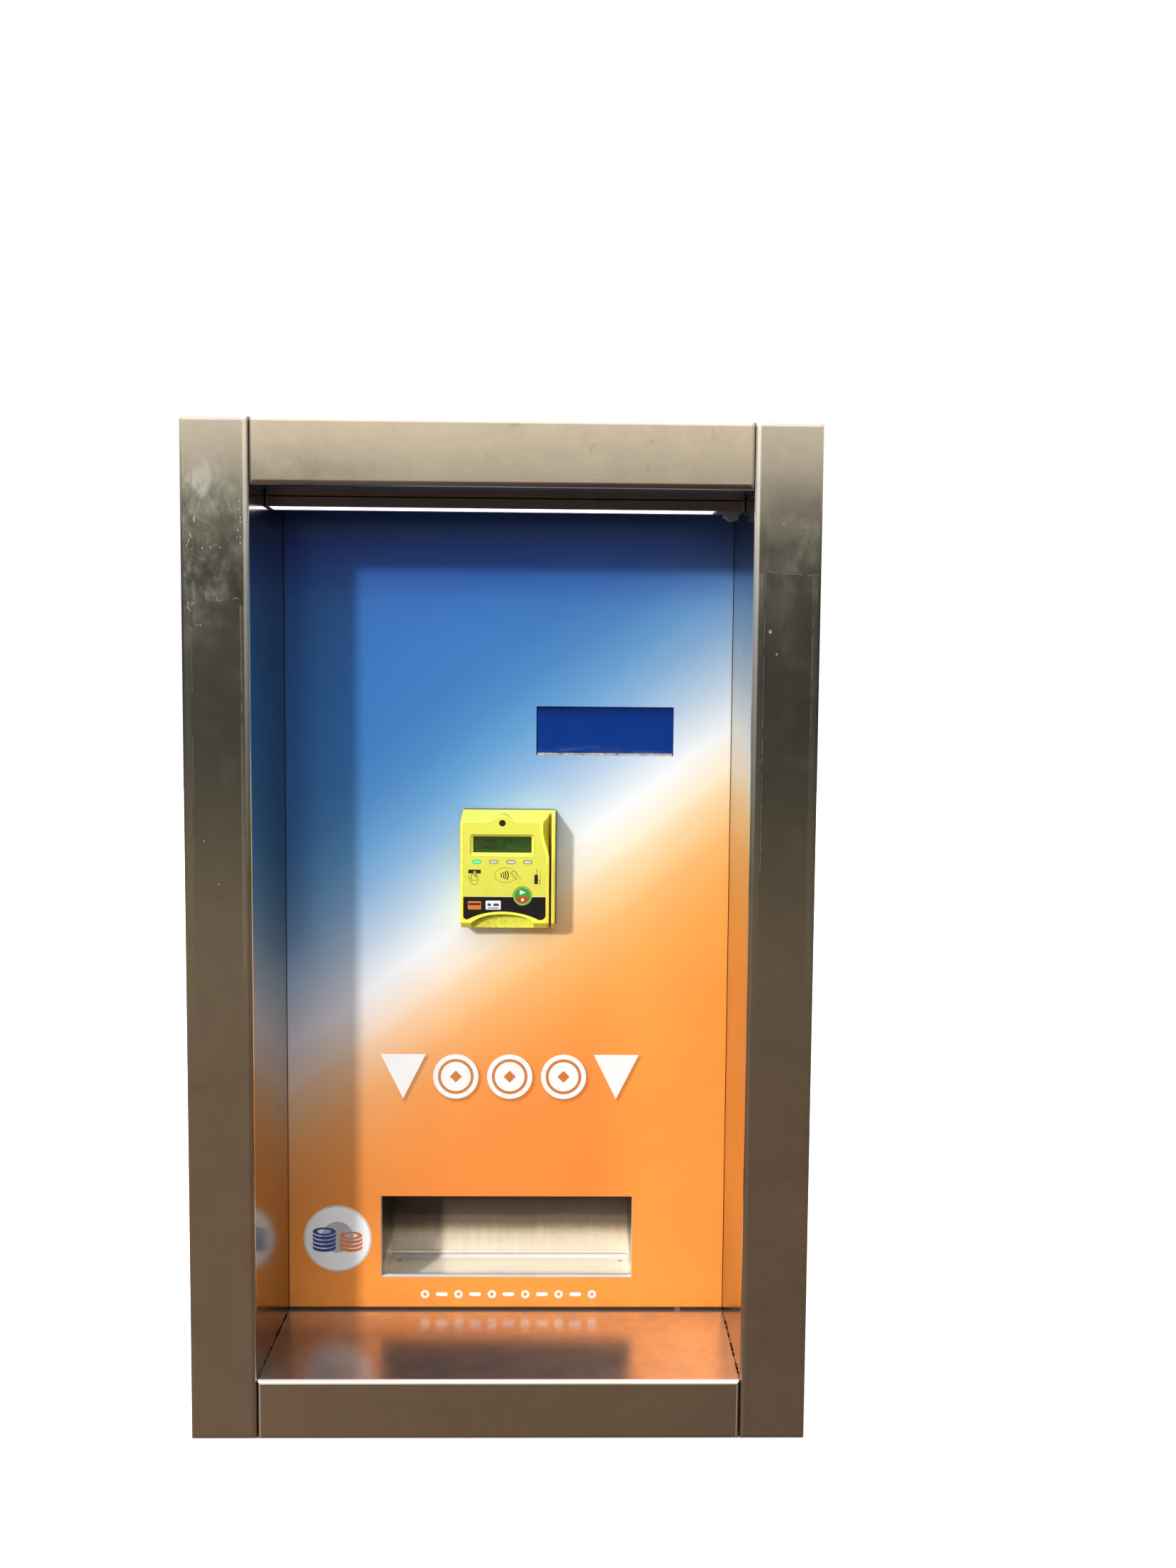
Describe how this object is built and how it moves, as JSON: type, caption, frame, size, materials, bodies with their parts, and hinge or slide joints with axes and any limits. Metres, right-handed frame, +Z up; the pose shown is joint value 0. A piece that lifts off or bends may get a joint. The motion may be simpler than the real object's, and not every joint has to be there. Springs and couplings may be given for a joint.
{
  "type": "wall-built token vending machine",
  "caption": "Wall-built vending machine: folded stainless surround, recessed graphic panel with display, yellow payment reader, delivery tray, lamp bar and rear service cabinet.",
  "frame": {"origin": "centre of the four wall-anchor holes, on the face of the wall", "axes": "+X to the right for a user in front, +Y into the wall, +Z up"},
  "size_m": [0.61, 0.4622, 1],
  "materials": {
    "aluminium": "extruded, plain",
    "black_plastic": "moulded",
    "bowl_plastic": "moulded",
    "button_green": "green key with a red field",
    "cable_black": "pvc cable sheath",
    "clear_window": "clear pane",
    "dark_blue_plastic": "display housing",
    "dark_lens": "dark sensor lens",
    "disc_plastic": "moulded",
    "display_glass": "deep blue window",
    "door_paint": "light grey powder coat",
    "foam_rubber": "closed-cell foam",
    "graphic_film": "printed film, blue through white to orange",
    "green_board": "circuit board",
    "grey_plastic": "moulded",
    "lcd_green": "character display",
    "led_diffuser": "milky diffuser",
    "light_pipe": "milky light pipe",
    "lock_chrome": "polished",
    "motor_metal": "black",
    "reader_label": "printed membrane, yellow with a black band",
    "reader_yellow": "moulded, satin",
    "rocker_red": "red rocker",
    "silicone": "weathered clear silicone",
    "stainless": "satin rolled stainless sheet with smudges and film marks",
    "white_board": "white circuit board",
    "white_vinyl": "cut vinyl",
    "zinc_screws": "bright zinc plate",
    "zinc_steel": "zinc-coated sheet"
  },
  "bodies": {
    "root": {"cabinet_flange": "zinc_steel", "cabinet_floor": "zinc_steel", "cabinet_left_wall": "zinc_steel", "cabinet_rear_frame": "zinc_steel", "cabinet_right_wall": "zinc_steel", "cabinet_top": "zinc_steel", "cable_gland": "grey_plastic", "controller_board": "green_board", "delivery_tray": "stainless", "display_board": "green_board", "display_module": "dark_blue_plastic", "display_window": "display_glass", "front_panel": "stainless", "graphic_film": "graphic_film", "header": "stainless", "hinge_leaves_fixed": "zinc_screws", "hinge_pins": "zinc_screws", "hopper_base": "black_plastic", "hopper_shelf": "zinc_steel", "led_bracket": "grey_plastic", "led_diffuser": "led_diffuser", "led_end_caps": "grey_plastic", "led_housing": "aluminium", "led_strip": "white_board", "left_jamb": "stainless", "mounting_plate": "zinc_steel", "panel_fasteners": "zinc_screws", "power_supply": "aluminium", "reader_backplate": "black_plastic", "reader_board": "green_board", "reader_body": "reader_yellow", "reader_label": "reader_label", "reader_lcd": "lcd_green", "reader_lcd_window": "clear_window", "reader_light_pipes": "light_pipe", "reader_mag_head": "lock_chrome", "reader_sensor_lens": "dark_lens", "right_jamb": "stainless", "silicone_beads": "silicone", "sill": "stainless", "sticker": "white_vinyl", "surround_screws": "zinc_screws", "switch_box": "grey_plastic", "token_chute": "zinc_steel", "token_icons": "white_vinyl", "wall_frame": "zinc_steel", "wall_gasket": "foam_rubber", "wiring_harness": "cable_black"},
    "door": {"rear_door": "door_paint", "door_gasket": "foam_rubber", "hinge_leaves_moving": "zinc_screws", "lock_barrel": "lock_chrome"},
    "lock": {"lock_plug": "lock_chrome"},
    "button": {"reader_button": "button_green"},
    "hopper_carriage": {"hopper_body": "black_plastic", "hopper_bowl": "bowl_plastic", "hopper_motor": "motor_metal", "hopper_throat": "bowl_plastic"},
    "disc": {"hopper_disc": "disc_plastic"},
    "rocker": {"power_rocker": "rocker_red"}
  },
  "joints": [
    {"name": "rear_door_hinge", "type": "hinge", "parent": "root", "child": "door", "pos_m": [-0.228, 0.304, 0], "axis": [0, 0, 1], "range_deg": [0, 110]},
    {"name": "lock_turn", "type": "hinge", "parent": "door", "child": "lock", "pos_m": [0.19, 0.3, 0], "axis": [0, 1, 0], "range_deg": [0, 90]},
    {"name": "reader_button_press", "type": "slide", "parent": "root", "child": "button", "axis": [0, 1, 0], "range_m": [0, 0.0012], "stiffness_N_per_m": 800, "springref_m": -0.0006},
    {"name": "hopper_slide", "type": "slide", "parent": "root", "child": "hopper_carriage", "axis": [0, 1, 0], "range_m": [0, 0.03]},
    {"name": "hopper_disc_spin", "type": "hinge", "parent": "hopper_carriage", "child": "disc", "pos_m": [0, 0.18, -0.129], "axis": [0, 0, 1], "continuous": true},
    {"name": "power_rocker_tilt", "type": "hinge", "parent": "root", "child": "rocker", "pos_m": [0.2055, 0.2605, 0.02], "axis": [1, 0, 0], "range_deg": [0, 20]}
  ]
}
